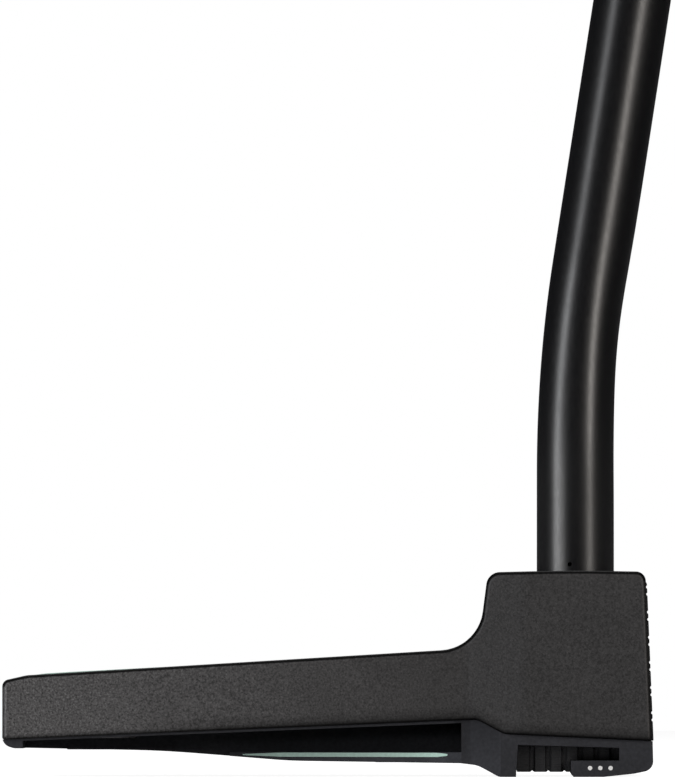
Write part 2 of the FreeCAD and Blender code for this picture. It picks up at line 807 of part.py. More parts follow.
def make_sole_badge():
    """Plain round badge under the keel."""
    badge = doc.addObject("Part::Cylinder", "sole_badge")
    badge.Label = "sole_badge"
    badge.setExpression("Radius", bound("badge_radius"))
    badge.setExpression("Height", bound("badge_high_z - badge_low_z"))
    badge.Placement = upright("badge_x", "0", "badge_low_z")
    return badge


def make_index_marks():
    """Three paint-filled dots on the toe end of the lip."""
    dots = []
    for count in range(3):
        dot = doc.addObject("Part::Cylinder", "index_dot_%d" % count)
        dot.setExpression("Radius", bound("mark_radius"))
        dot.setExpression("Height", bound("mark_depth"))
        place = upright("mark_first_x + %d * mark_pitch" % count,
                        "frame_inset - head_width / 2 - mark_proud", "mark_z")
        place.Rotation = Rotation(Vector(1, 0, 0), -90)
        dot.Placement = place
        dots.append(dot)
    return group("index_marks", dots)


# ---------------------------------------------------------------- sight lines on the crown
def make_crown_line():
    """Sight line along the spine; it stands slightly proud near the rear and fades in flush."""
    body = new_body("crown_line")
    side = new_sketch(body, "side", "XZ_Plane")
    add_loop(side, [
        ("sight_rear_x", deck_z("sight_rear_x") + " - sight_depth"),
        ("sight_front_x", deck_z("sight_front_x") + " - sight_depth"),
        ("sight_front_x", deck_z("sight_front_x") + " + sight_flush"),
        ("sight_fade_x", deck_z("sight_fade_x") + " + sight_flush", "sight_fade_radius"),
        ("sight_high_x", deck_z("sight_high_x") + " + sight_rise", "sight_high_radius"),
        ("sight_peak_x", deck_z("sight_peak_x") + " + sight_rise", "sight_peak_radius"),
        ("sight_rear_x", deck_z("sight_rear_x") + " + sight_flush"),
    ])
    pad(body, side, "sight_width", both_ways=True)
    return body


def make_ball_line(side_y):
    """One of the two lines a ball's width apart, on the floor of the wells."""
    body = new_body("ball_line_toe" if side_y < 0 else "ball_line_heel")
    plan = new_sketch(body, "plan", "XY_Plane", "pocket_floor_z - ball_line_depth")
    middle = "%d * ball_line_y" % side_y
    add_loop(plan, box_corners("pocket_rear_x + ball_line_end", "pocket_front_x - ball_line_end",
                               middle + " - ball_line_width / 2",
                               middle + " + ball_line_width / 2", "ball_line_corner"))
    pad(body, plan, "ball_line_depth + sight_flush")
    return body


# ---------------------------------------------------------------- screws and weights
def turned_screw(label, place, length, head_radius, below="0"):
    """Countersunk screw pointing up, its head carried down by below to make a tool for its seat."""
    profile = [
        ("0", "-(%s)" % below),
        (head_radius, "-(%s)" % below),
        (head_radius, "screw_rim"),
        ("screw_radius", "%s - screw_radius + screw_rim" % head_radius),
        ("screw_radius", length + " - screw_tip"),
        ("screw_radius - screw_tip", length),
        ("0", length),
    ]
    return revolved(label, profile, place)


def make_screws(label, places, length, head_radius):
    """Group of screws with six-sided sockets, and the group of plain shapes that seat them."""
    screws = []
    seats = []
    for count, place in enumerate(places):
        screw = turned_screw("%s_%d" % (label, count), place, length, head_radius)
        add_socket(screw, "screw_radius * 0.75", "screw_socket_depth")
        screws.append(screw)
        seats.append(turned_screw("%s_seat_%d" % (label, count), place, length, head_radius, "1"))
    return group(label, screws), group(label + "_seats", seats)


def add_socket(body, radius, depth):
    """Hexagonal key socket cut up into the underside of a screw or weight."""
    sketch = new_sketch(body, "socket", "XY_Plane")
    corners = []
    for count in range(6):
        angle = "%d" % (60 * count)
        corners.append(("(%s) * cos(%s deg)" % (radius, angle), "(%s) * sin(%s deg)" % (radius, angle)))
    add_loop(sketch, corners)
    pocket(body, sketch, depth, upward=True)


def make_perimeter_weight(label, side_y):
    """Round threaded slug screwed up into one wing; V grooves stand for the thread."""
    body = new_body(label)
    tall = "(weight_high_z - weight_low_z)"
    profile = [
        ("0", "0"),
        ("weight_radius - weight_chamfer", "0"),
        ("weight_radius", "weight_chamfer"),
        ("weight_radius", "weight_head"),
        ("weight_radius - weight_groove_depth", "weight_head + 0.1"),
        ("weight_radius - weight_groove_depth", "weight_thread_start - 0.1"),
        ("weight_radius", "weight_thread_start"),
    ]
    turns = 5
    pitch = "(%s - weight_thread_start - weight_chamfer) / %d" % (tall, turns)
    for count in range(turns):
        profile.append(("weight_radius - weight_thread_depth",
                        "weight_thread_start + %s * %s" % (count + 0.5, pitch)))
        profile.append(("weight_radius", "weight_thread_start + %d * %s" % (count + 1, pitch)))
    profile += [("weight_radius - weight_chamfer", tall), ("0", tall)]
    sketch = new_sketch(body, "profile", "XZ_Plane")
    add_loop(sketch, profile)
    turn = body.newObject("PartDesign::Revolution", label + "_turn")
    turn.Profile = sketch
    turn.ReferenceAxis = (sketch, ["V_Axis"])
    doc.recompute()
    add_socket(body, "weight_socket", "weight_socket_depth")
    body.Placement = upright("weight_x", "%d * weight_y" % side_y, "weight_low_z")
    doc.recompute()
    return body


def make_weight_seal(label, side_y):
    """Rubber ring in the groove behind the weight's head."""
    ring = doc.addObject("Part::Torus", label)
    ring.Label = label
    ring.setExpression("Radius1", bound("weight_radius - 0.1"))
    ring.setExpression("Radius2", bound("seal_radius"))
    groove_z = "weight_low_z + (weight_head + weight_thread_start) / 2"
    ring.Placement = upright("weight_x", "%d * weight_y" % side_y, groove_z)
    return ring


# ---------------------------------------------------------------- shaft
def shaft_path():
    """Straight runs and tangent arcs of the shaft's axis: corner points with bend radii."""
    foot = Vector(value("shaft_x"), value("shaft_y"), value("bore_floor_z") + 0.2)
    up = Vector(0, 0, 1)
    between = Vector(value("lean_forward"), value("lie_slope"), 1).normalize()
    top = Vector(0, value("lie_slope"), 1).normalize()
    first_reach = value("bend_one_radius") * math.tan(up.getAngle(between) / 2)
    second_reach = value("bend_two_radius") * math.tan(between.getAngle(top) / 2)
    corner_one = Vector(foot.x, foot.y, value("bend_one_z") + first_reach)
    start_two = between * ((value("bend_two_z") - corner_one.z) / between.z)
    corner_two = corner_one + start_two + between * second_reach
    lower = [("run", foot, corner_one - up * first_reach),
             ("bend", corner_one - up * first_reach, up, between, value("bend_one_radius")),
             ("run", corner_one + between * first_reach, corner_two - between * second_reach),
             ("bend", corner_two - between * second_reach, between, top, value("bend_two_radius"))]
    return lower, corner_two + top * second_reach, top


def path_length(lower):
    total = 0
    for piece in lower:
        if piece[0] == "run":
            total += (piece[2] - piece[1]).Length
        else:
            total += piece[4] * piece[2].getAngle(piece[3])
    return total


def rod(lower, radius):
    """Solid rod of one radius along the runs and bends."""
    pieces = []
    for piece in lower:
        if piece[0] == "run":
            run = piece[2] - piece[1]
            pieces.append(Part.makeCylinder(radius, run.Length, piece[1], run))
            continue
        start, before, after, bend_radius = piece[1:]
        axis = before.cross(after).normalize()
        centre = start + axis.cross(before) * bend_radius
        disc = Part.Face(Part.Wire([Part.Circle(start, before, radius).toShape()]))
        pieces.append(disc.revolve(centre, axis, math.degrees(before.getAngle(after))))
    return pieces


def butt_place():
    """Frame at the butt end of the shaft, its Z along the shaft and its X at the target."""
    lower, top_start, top = shaft_path()
    butt = top_start + top * (value("putter_length") - path_length(lower))
    tilt = math.degrees(math.atan2(top.y, top.z))
    return Placement(butt, Rotation(Vector(1, 0, 0), -tilt))


def step_corners(clearance):
    """(radius, height below the butt) at the top of each step of the shaft, butt first."""
    corners = []
    radius = value("shaft_radius") + value("step_count") * value("step_height")
    height = -value("butt_length")
    for count in range(int(value("step_count"))):
        corners.append((radius + clearance, height))
        radius -= value("step_height")
        height -= value("step_pitch")
    return corners


def make_shaft():
    """Steel tube: swept foot and bends, then a straight top that steps up towards the butt."""
    lower, top_start, top = shaft_path()
    length = value("putter_length") - path_length(lower)
    wall = value("shaft_wall")
    solids = []
    for thinner in (0, wall):
        edge = []
        for radius, height in step_corners(-thinner):
            edge += [(radius, height), (radius - value("step_height"), height - value("step_run"))]
        outline = [(0, 0), (edge[0][0], 0)] + edge
        outline += [(value("shaft_radius") - thinner, -length), (0, -length)]
        points = [Vector(radius, 0, height) for radius, height in outline]
        face = Part.Face(Part.makePolygon(points + points[:1]))
        stepped = face.revolve(Vector(0, 0, 0), Vector(0, 0, 1), 360)
        stepped.Placement = butt_place()
        pieces = rod(lower, value("shaft_radius") - thinner)
        solids.append(stepped.fuse(pieces).removeSplitter())
    vent_start = upright("shaft_x + vent_offset", "shaft_y", "vent_z").Base
    vent = Part.makeCylinder(value("vent_radius"), value("shaft_radius"), vent_start, Vector(0, -1, 0))
    shaft = doc.addObject("Part::Feature", "shaft")
    shaft.Label = "shaft"
    shaft.Shape = solids[0].cut(solids[1]).cut(vent)
    return shaft


def make_collar(label, inner, outer, low_z, high_z):
    """Plain ring about the shaft's foot."""
    body = new_body(label)
    sketch = new_sketch(body, "ring", "XY_Plane")
    add_circle(sketch, "0", "0", outer)
    if inner:
        add_circle(sketch, "0", "0", inner)
    pad(body, sketch, "%s - (%s)" % (high_z, low_z))
    body.Placement = upright("shaft_x", "shaft_y", low_z)
    return body


# ---------------------------------------------------------------- grip
def make_sleeve(label, clearance, thickness, length):
    """Sleeve over the stepped butt of the shaft, as long as the grip."""
    steps = step_corners(clearance)
    slope = value("step_height") / value("step_pitch")
    foot_radius = steps[0][0] - (value(length) - value("butt_length")) * slope
    profile = [
        (steps[0][0], -0.2),
        (steps[0][0], steps[0][1]),
        (foot_radius, -value(length)),
        (foot_radius + thickness, -value(length)),
        (steps[0][0] + thickness, steps[0][1]),
        (steps[0][0] + thickness, -0.2),
    ]
    return revolved(label, profile, butt_place())


def grip_section(body, name, height, radius, flat_y):
    """Round section with a flat thumb face on its toe side."""
    sketch = new_sketch(body, name, "XY_Plane", height)
    size = value(radius)
    cut_y = -value(flat_y)
    half_flat = math.sqrt(size * size - cut_y * cut_y)
    start = math.atan2(cut_y, half_flat)
    end = math.atan2(cut_y, -half_flat) + 2 * math.pi
    circle = Part.Circle(Vector(0, 0, 0), Vector(0, 0, 1), size)
    arc = sketch.addGeometry(Part.ArcOfCircle(circle, start, end))
    line = sketch.addGeometry(Part.LineSegment(Vector(-half_flat, cut_y, 0),
                                               Vector(half_flat, cut_y, 0)))
    sketch.addConstraint(Sketcher.Constraint("Coincident", arc, 3, -1, 1))
    sketch.addConstraint(Sketcher.Constraint("Coincident", arc, 2, line, 1))
    sketch.addConstraint(Sketcher.Constraint("Coincident", line, 2, arc, 1))
    sketch.addConstraint(Sketcher.Constraint("Horizontal", line))
    bind(sketch, "Radius", arc, radius)
    bind(sketch, "DistanceY", line, 1, "-(%s)" % flat_y)
    return sketch


def make_grip():
    """Pistol grip: lofted round sections with a flat front, bored to fit the taped butt."""
    body = new_body("grip_blank")
    sections = [
        grip_section(body, "mouth", "-grip_length", "grip_mouth_radius", "grip_mouth_radius - 0.9"),
        grip_section(body, "lower", "-grip_length * 0.62", "grip_mid_radius", "grip_flat + 0.7"),
        grip_section(body, "upper", "-grip_length * 0.3", "grip_mid_radius + 0.6", "grip_flat + 0.8"),
        grip_section(body, "top", "0", "grip_top_radius", "grip_flat + 1.2"),
    ]
    loft = body.newObject("PartDesign::AdditiveLoft", "grip_loft")
    loft.Profile = sections[0]
    loft.Sections = sections[1:]
    body.Placement = butt_place()
    doc.recompute()
    return body


def make_grip_core():
    """Room for the taped butt inside the grip."""
    steps = step_corners(0.05 + value("tape_thickness"))
    slope = value("step_height") / value("step_pitch")
    over = value("grip_length") + 5
    foot_radius = steps[0][0] - (over - value("butt_length")) * slope
    profile = [(0, 5), (0, -over), (foot_radius, -over), steps[0], (steps[0][0], 5)]
    return revolved("grip_core", profile, butt_place())


def make_grip_cap():
    """Butt cap with a domed top and a vent hole through it."""
    body = new_body("grip_cap")
    profile = new_sketch(body, "profile", "XZ_Plane")
    add_loop(profile, [
        ("cap_vent_radius", "0"),
        ("cap_radius", "0", 0.4),
        ("cap_radius", "cap_thickness - cap_chamfer", "cap_edge_round"),
        ("cap_radius - cap_dome_width", "cap_thickness", "cap_dome_round"),
        ("cap_vent_radius", "cap_thickness"),
    ])
    turn = body.newObject("PartDesign::Revolution", "grip_cap_turn")
    turn.Profile = profile
    turn.ReferenceAxis = (profile, ["V_Axis"])
    body.Placement = butt_place()
    doc.recompute()
    return body


def make_shaft_band():
    """Plain printed band round the shaft, just below the grip."""
    lower = -value("grip_length + band_gap")
    radius, top = [corner for corner in step_corners(0.02) if corner[1] < lower][0]
    outer = radius + value("band_thickness")
    low = top - value("step_pitch") + 2
    high = top - value("step_run") - 0.4
    profile = [(radius, low), (outer, low), (outer, high), (radius, high)]
    return revolved("shaft_band", profile, butt_place())


# ---------------------------------------------------------------- assembly
def build():
    nodes = []
    face_plate = make_face_plate()
    face_adhesive = make_face_adhesive()
    crown_line = make_crown_line()
    ball_lines = [make_ball_line(side_y) for side_y in (-1, 1)]
    side_lines = group("ball_lines", ball_lines)

    frame_places = []
    for end in ("front", "rear"):
        for side_y in (-1, 1):
            frame_places.append(upright("frame_screw_%s_x" % end, "%d * frame_screw_y" % side_y,
                                        "frame_screw_%s_z" % end))
    bar_places = []
    for side_y in (-1, 0, 1):
        bar_places.append(upright("bar_screw_x", "%d * bar_screw_y" % side_y,
                                  "bar_bottom_z + bar_screw_recess"))
    frame_screws, frame_seats = make_screws("frame_screws", frame_places, "frame_screw_length",
                                            "screw_head_radius")
    bar_screws, bar_seats = make_screws("weight_bar_screws", bar_places, "bar_screw_length",
                                        "screw_head_radius - 0.3")

    weight_bar = cut("weight_bar", make_weight_bar(), [bar_seats])
    inlays = [make_sole_inlay(-1, "toe_inlay"), make_sole_inlay(1, "heel_inlay")]
    sole_inlays = group("sole_inlays", inlays)
    sole_badge = make_sole_badge()
    index_marks = make_index_marks()

    head_body = cut("head_body", make_head_blank(),
                    [make_face_seat(), crown_line, side_lines, frame_seats, bar_seats])
    badge_room = doc.addObject("Part::Cylinder", "badge_room")
    badge_room.setExpression("Radius", bound("badge_radius"))
    badge_room.setExpression("Height", bound("badge_high_z"))
    badge_room.Placement = upright("badge_x", "0", "0")
    sole_frame = cut("sole_frame", make_sole_blank(),
                     [sole_inlays, badge_room, index_marks, frame_seats, bar_seats])

    nodes += [head_body, sole_frame, face_plate, face_adhesive, weight_bar, bar_screws]
    nodes += [frame_screws, sole_inlays, sole_badge, index_marks, crown_line, side_lines]
    for label, side_y in (("toe", -1), ("heel", 1)):
        nodes.append(make_perimeter_weight(label + "_weight", side_y))
        nodes.append(make_weight_seal(label + "_weight_seal", side_y))
    nodes.append(make_shaft())
    nodes.append(make_collar("shaft_epoxy", "shaft_radius", "bore_radius",
                             "bore_floor_z + 0.2", "glue_top_z"))
    nodes.append(make_collar("shaft_plug", None, "shaft_radius - shaft_wall",
                             "bore_floor_z + 0.4", "bore_floor_z + 0.4 + plug_length"))
    nodes.append(make_shaft_band())
    nodes.append(make_sleeve("grip_tape", 0.05, value("tape_thickness"), "grip_length"))
    nodes.append(cut("grip", make_grip(), [make_grip_core()]))
    nodes.append(make_grip_cap())
    return nodes


def write(nodes):
    """Check every object, then write one STEP file per node."""
    doc.recompute()
    for item in doc.Objects:
        if "Invalid" in item.State or "Error" in item.State:
            raise RuntimeError("%s failed: %s" % (item.Name, item.State))
    os.makedirs("parts", exist_ok=True)
    for node in nodes:
        shape = node.Shape
        if shape.isNull() or not shape.isValid():
            raise RuntimeError(node.Label + " has no valid shape")
        shape.exportStep("parts/%s.step" % node.Label)
        print("%-20s %9.1f mm3  %d solid(s)" % (node.Label, shape.Volume, len(shape.Solids)))


write(build())
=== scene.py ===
# %% [markdown]
# # A mallet putter, finished in Blender
# The CAD model gives the whole club at its real size: head, sole frame, screws, shaft and grip.
# Blender adds what a plain solid cannot show: the blasted skin of the head, the satin coat of the
# sole and shaft, the moulded rubber of the grip, paint in the sight lines, and the studio light.
# Everything is in metres, +X to the target, +Y from the toe to the heel, +Z up.

# %% Load the frame
import math

import bmesh
import bpy
import numpy as np
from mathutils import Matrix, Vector


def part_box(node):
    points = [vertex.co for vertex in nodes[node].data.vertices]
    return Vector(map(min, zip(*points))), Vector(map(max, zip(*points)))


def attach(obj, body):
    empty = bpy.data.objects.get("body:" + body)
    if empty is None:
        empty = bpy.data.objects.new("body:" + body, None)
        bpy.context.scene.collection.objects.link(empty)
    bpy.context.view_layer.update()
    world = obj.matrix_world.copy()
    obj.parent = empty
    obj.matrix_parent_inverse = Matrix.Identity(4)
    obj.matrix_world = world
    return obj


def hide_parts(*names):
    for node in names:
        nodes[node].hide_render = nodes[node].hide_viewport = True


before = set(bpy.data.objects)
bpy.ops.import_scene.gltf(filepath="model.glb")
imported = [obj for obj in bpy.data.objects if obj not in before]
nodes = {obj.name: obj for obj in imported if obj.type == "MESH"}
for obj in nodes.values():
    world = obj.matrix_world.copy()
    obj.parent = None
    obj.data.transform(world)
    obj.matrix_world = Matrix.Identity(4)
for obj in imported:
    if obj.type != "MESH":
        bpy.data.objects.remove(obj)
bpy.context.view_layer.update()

MM = 0.001
MINT = (0.352, 0.54, 0.463)

# %% [markdown]
# ## The camera
# The head is looked at from the toe, square on, with a very long lens a few metres away, so that
# edges which run away from the eye collapse to lines.  The eye stands level with the wings, in line
# with the back of the front block, so both of those edges hide what lies behind them.  A normal lens
# close up would show the deck and the far side of the head, and its side profile would be lost.

# %% Place the camera from the size of the head
toe_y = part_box("head_body")[0].y
scene = bpy.context.scene

VIEW_HEIGHT = 95.12 * MM         # height of the view where the toe wall stands
VIEW_CENTRE = Vector((-31.2 * MM, toe_y, 47.2 * MM))
EYE_X = -13 * MM                 # in line with the back of the front block
EYE_HEIGHT = 12 * MM             # level with the wings
LENS = 1300.0
SENSOR = 36.0

camera_data = bpy.data.cameras.new("camera")
camera_data.lens = LENS
camera_data.sensor_width = SENSOR
camera = bpy.data.objects.new("camera", camera_data)
scene.collection.objects.link(camera)
distance = VIEW_HEIGHT * LENS / SENSOR
camera.location = (EYE_X, toe_y - distance, EYE_HEIGHT)
look = VIEW_CENTRE - camera.location
camera.rotation_euler = look.to_track_quat("-Z", "Y").to_euler()
camera_data.clip_start = 0.1
camera_data.clip_end = 100
scene.camera = camera
print("camera", round(distance, 3), "m from the toe")

# %% [markdown]
# ## Floor and light
# A product shot of a black club needs light that draws its edges and leaves the rest dark.  Two tall
# soft boxes stand to the left and right of the camera: the round black shaft shows each of them as
# one bright stripe, and the blasted wall of the head shows them as an even sheen.  A panel above and
# behind lights the deck and the back of the club; it cannot reach the walls that face the camera.
# A strip light no taller than a finger lies on the floor to the left and shines in under the wings.
# One more box hangs under the floor, which hides it: it only works when the sole is turned up to look
# at and the floor is taken away.
# One big dome light would be simpler, but it would turn the black grey.  The floor and the backdrop
# look white to the camera and give the club little light from below, as a dark table top would.

# %% Floor
FLOOR_SIZE = 6.0
FLOOR_WHITE = 0.93               # how bright the floor looks with no light on it
FLOOR_PAINT = (0.42, 0.42, 0.42, 1)


def flat_sheet(name, size, height):
    """Square of the given side, level at the given height."""
    half = size / 2
    corners = [(-half, -half, height), (half, -half, height),
               (half, half, height), (-half, half, height)]
    mesh = bpy.data.meshes.new(name)
    mesh.from_pydata(corners, [], [(0, 1, 2, 3)])
    sheet = bpy.data.objects.new(name, mesh)
    scene.collection.objects.link(sheet)
    return sheet


def camera_ray(tree):
    """Socket that is 1 where the camera looks straight at the surface and 0 for bounced light."""
    return tree.nodes.new("ShaderNodeLightPath").outputs["Is Camera Ray"]


floor = flat_sheet("floor", FLOOR_SIZE, 0.0)
floor_paint = bpy.data.materials.new("floor_paint")
floor_paint.use_nodes = True
floor_shader = floor_paint.node_tree.nodes["Principled BSDF"]
floor_shader.inputs["Base Color"].default_value = FLOOR_PAINT
floor_shader.inputs["Roughness"].default_value = 0.9
floor_shader.inputs["Specular IOR Level"].default_value = 0.1
floor_shader.inputs["Emission Color"].default_value = (FLOOR_WHITE, FLOOR_WHITE, FLOOR_WHITE, 1)
floor_paint.node_tree.links.new(camera_ray(floor_paint.node_tree),
                                floor_shader.inputs["Emission Strength"])
floor.data.materials.append(floor_paint)
print("floor", FLOOR_SIZE, "m square")

# %% World and soft boxes
AIM = Vector((-0.03, 0, 0.06))
AMBIENT = (0.022, 0.0225, 0.024, 1)


def soft_box(name, azimuth, reach, height, size, watts, colour):
    """Rectangular light of the given size (width, height), aimed at the head.

    The azimuth is in degrees from the camera's side, + to the right; reach is the distance
    along the floor.
    """
    light = bpy.data.lights.new(name, "AREA")
    light.shape = "RECTANGLE"
    light.size, light.size_y = size
    light.energy = watts
    light.color = colour
    lamp = bpy.data.objects.new(name, light)
    turn = math.radians(azimuth)
    lamp.location = (AIM.x + reach * math.sin(turn), AIM.y - reach * math.cos(turn), height)
    lamp.rotation_euler = (AIM - lamp.location).to_track_quat("-Z", "Y").to_euler()
    lamp.visible_camera = False
    scene.collection.objects.link(lamp)


soft_box("left_box", -57, 1.3, 0.45, (0.36, 1.3), 13.4, (0.97, 0.98, 1.0))
soft_box("right_box", 45, 1.4, 0.45, (0.30, 1.3), 14.5, (1.0, 0.95, 0.90))
soft_box("top_rear", 180, 0.7, 1.9, (1.1, 1.1), 12, (1, 1, 1))
soft_box("low_strip", -50, 0.8, 0.014, (0.5, 0.024), 1.5, (1, 1, 1))
soft_box("under_box", -30, 0.5, -0.9, (1.0, 1.0), 28, (1, 1, 1))

world = bpy.data.worlds.new("studio")
world.use_nodes = True
scene.world = world
background = world.node_tree.nodes["Background"]
backdrop = world.node_tree.nodes.new("ShaderNodeMix")
backdrop.data_type = "RGBA"
backdrop.inputs["A"].default_value = AMBIENT
backdrop.inputs["B"].default_value = (1, 1, 1, 1)
world.node_tree.links.new(camera_ray(world.node_tree), backdrop.inputs["Factor"])
world.node_tree.links.new(backdrop.outputs["Result"], background.inputs["Color"])
scene.view_settings.view_transform = "Standard"

# %% [markdown]
# ## A kit for finishes
# Each finish is one Principled shader.  What varies over a surface (grain, speckle, wear) comes from
# noise read at Object coordinates, so it stays put when the part moves.  What is the same everywhere
# is written on the shader's own socket.

# %% Node helpers


class Finish:
    """A node material with short names for the nodes used again and again."""

    def __init__(self, name, colour, roughness, metallic=0.0, specular=0.5):
        self.material = bpy.data.materials.new(name)
        self.material.use_nodes = True
        self.nodes = self.material.node_tree.nodes
        self.links = self.material.node_tree.links
        self.shader = self.nodes["Principled BSDF"]
        self.shader.inputs["Base Color"].default_value = (*colour, 1)
        self.shader.inputs["Roughness"].default_value = roughness
        self.shader.inputs["Metallic"].default_value = metallic
        self.shader.inputs["Specular IOR Level"].default_value = specular
        self.colour = colour
        coordinates = self.nodes.new("ShaderNodeTexCoord")
        self.place = coordinates.outputs["Object"]

    def scaled(self, stretch):
        """Object coordinates stretched by a factor along each axis."""
        mapping = self.nodes.new("ShaderNodeMapping")
        mapping.inputs["Scale"].default_value = stretch
        self.links.new(self.place, mapping.inputs["Vector"])
        return mapping.outputs["Vector"]

    def noise(self, size, detail=3.0, place=None):
        """Noise whose blotches are about size metres across."""
        node = self.nodes.new("ShaderNodeTexNoise")
        node.inputs["Scale"].default_value = 1 / size
        node.inputs["Detail"].default_value = detail
        self.links.new(place or self.place, node.inputs["Vector"])
        return node.outputs["Fac"]

    def cells(self, size):
        """Distance to the nearest of random points about size metres apart."""
        node = self.nodes.new("ShaderNodeTexVoronoi")
        node.inputs["Scale"].default_value = 1 / size
        self.links.new(self.place, node.inputs["Vector"])
        return node.outputs["Distance"]

    def waves(self, pitch, axis):
        """Parallel ridges, one every pitch metres, across an axis."""
        node = self.nodes.new("ShaderNodeTexWave")
        node.bands_direction = axis
        node.wave_profile = "SIN"
        node.inputs["Scale"].default_value = 2 * math.pi / (20 * pitch)
        self.links.new(self.place, node.inputs["Vector"])
        return node.outputs["Fac"]

    def ramp(self, value, low, high, to_low=0.0, to_high=1.0):
        """Value mapped from low..high to to_low..to_high and held at the ends."""
        node = self.nodes.new("ShaderNodeMapRange")
        node.inputs["From Min"].default_value = low
        node.inputs["From Max"].default_value = high
        node.inputs["To Min"].default_value = to_low
        node.inputs["To Max"].default_value = to_high
        self.links.new(value, node.inputs["Value"])
        return node.outputs["Result"]

    def math(self, operation, first, second):
        """One step of arithmetic; each side is a number or a socket."""
        node = self.nodes.new("ShaderNodeMath")
        node.operation = operation
        for socket, value in zip(node.inputs, (first, second)):
            if isinstance(value, (int, float)):
                socket.default_value = value
            else:
                self.links.new(value, socket)
        return node.outputs["Value"]

    def axis(self, letter):
        """One of the Object coordinates, in metres."""
        node = self.nodes.new("ShaderNodeSeparateXYZ")
        self.links.new(self.place, node.inputs["Vector"])
        return node.outputs[letter]

    def normal(self):
        """The surface normal's three parts."""
        geometry = self.nodes.new("ShaderNodeNewGeometry")
        node = self.nodes.new("ShaderNodeSeparateXYZ")
        self.links.new(geometry.outputs["Normal"], node.inputs["Vector"])
        return node.outputs

    def blend(self, factor, first, second):
        """Colour mixed from first to second; each is a colour or a socket."""
        node = self.nodes.new("ShaderNodeMix")
        node.data_type = "RGBA"
        self.links.new(factor, node.inputs["Factor"])
        for name, value in (("A", first), ("B", second)):
            if isinstance(value, tuple):
                node.inputs[name].default_value = (*value, 1)
            else:
                self.links.new(value, node.inputs[name])
        return node.outputs["Result"]

    def bump(self, value, depth, strength=1.0):
        """Relief of the given depth in metres, laid over any relief made before."""
        node = self.nodes.new("ShaderNodeBump")
        node.inputs["Distance"].default_value = depth
        node.inputs["Strength"].default_value = strength
        self.links.new(value, node.inputs["Height"])
        if self.shader.inputs["Normal"].links:
            before = self.shader.inputs["Normal"].links[0].from_socket
            self.links.new(before, node.inputs["Normal"])
        self.links.new(node.outputs["Normal"], self.shader.inputs["Normal"])

    def colour_from(self, socket):
        """Take the surface's colour from a socket."""
        self.links.new(socket, self.shader.inputs["Base Color"])

    def roughness_from(self, socket):
        """Take the surface's roughness from a socket."""
        self.links.new(socket, self.shader.inputs["Roughness"])


def shade(colour, factor):
    """The colour with every channel times a factor."""
    return tuple(channel * factor for channel in colour)


def dress(node, finish):
    """Give a CAD node its finish."""
    slots = nodes[node].data.materials
    if not len(slots):
        slots.append(finish.material)
    for index in range(len(slots)):
        slots[index] = finish.material
    print(node, "in", finish.material.name)


# %% [markdown]
# ## Blasted black head
# The upper body is aluminium, bead-blasted and then anodised black.  Blasting leaves a sparkling
# grain of pits a few tenths of a millimetre apart, coarsest on the wings, so the wall is never one
# flat tone.  The wall is also painted lighter towards the rear of the wings: painted light.  A dark
# metal shader suits it: what the eye sees is the lights mirrored in a rough skin.
# The rounded edges read as dark outlines, and a soft dark band lies just over the joint.  The studio
# lights alone don't give either, so both are painted: they are worked out from the surface's own
# normal and place, and stay where they are if the lights move.  Ambient occlusion would follow the
# shape by itself, but it costs many more rays.  The colour is a brightness from 0 to BRIGHTEST, so
# that the sparkle has room above the base tone.

# %% Head finish


def flatness(finish, rounded, level):
    """1 on faces square to an axis, 0 on rounded edges: the largest part of the surface normal."""
    parts = finish.normal()
    largest = 0.0
    for letter in "XYZ":
        size = finish.math("ABSOLUTE", parts[letter], 0.0)
        largest = finish.math("MAXIMUM", size, largest)
    return finish.ramp(largest, rounded, level)


# Corners of the joint line, rear to front.
JOINT_X = (-72.1 * MM, -14.2 * MM, -10.9 * MM, 7.4 * MM)
JOINT_Z = (4.55 * MM, 7.0 * MM, 5.22 * MM, 4.37 * MM)


def above_joint(finish):
    """Height over the line where body and frame meet: Z less the line's three straight runs."""
    height = JOINT_Z[0]
    for here in range(len(JOINT_X) - 1):
        rise = finish.ramp(finish.axis("X"), JOINT_X[here], JOINT_X[here + 1],
                           0.0, JOINT_Z[here + 1] - JOINT_Z[here])
        height = finish.math("ADD", rise, height)
    return finish.math("SUBTRACT", finish.axis("Z"), height)


GRAIN_SIZE, SPARKLE_SIZE, PATCH_SIZE = 0.26 * MM, 0.17 * MM, 7 * MM
WING_FRONT_X, WING_REAR_X = -18 * MM, -66 * MM
BRIGHTEST = 4.0                  # top of the brightness scale, times the base colour

blasted = Finish("blasted_black", (0.0655, 0.0645, 0.0655), 0.6, metallic=1.0)
grain = blasted.noise(GRAIN_SIZE, 2.0)
sparkle = blasted.ramp(blasted.noise(SPARKLE_SIZE, 1.0), 0.56, 0.70)
wing = blasted.ramp(blasted.axis("X"), WING_FRONT_X, WING_REAR_X)
grain_depth = blasted.math("MULTIPLY", blasted.ramp(grain, 0.3, 0.7, -1.0, 1.0),
                           blasted.ramp(wing, 0.0, 1.0, 0.24, 0.5))
glitter = blasted.math("MULTIPLY", sparkle, blasted.ramp(wing, 0.0, 1.0, 0.25, 0.6))
tone = blasted.math("ADD", blasted.math("ADD", grain_depth, 1.0), glitter)
patches = blasted.ramp(blasted.noise(PATCH_SIZE, 3.0), 0.3, 0.7, 0.95, 1.05)
# Painted light: the wall is painted up to 1.75 times lighter towards the rear of the wings; the
# patches are random tone.
level = blasted.math("MULTIPLY", blasted.ramp(wing, 0.0, 1.0, 1.0, 1.75), patches)

# Edges that look down keep their tone; those that look up go dark where they round over.
downward = blasted.ramp(blasted.normal()["Z"], -0.1, 0.1, 0.9, 0.08)
flat = flatness(blasted, 0.86, 0.965)
flat_above = blasted.math("MULTIPLY", flat, blasted.math("SUBTRACT", 1.0, downward))
edges = blasted.math("ADD", downward, flat_above)

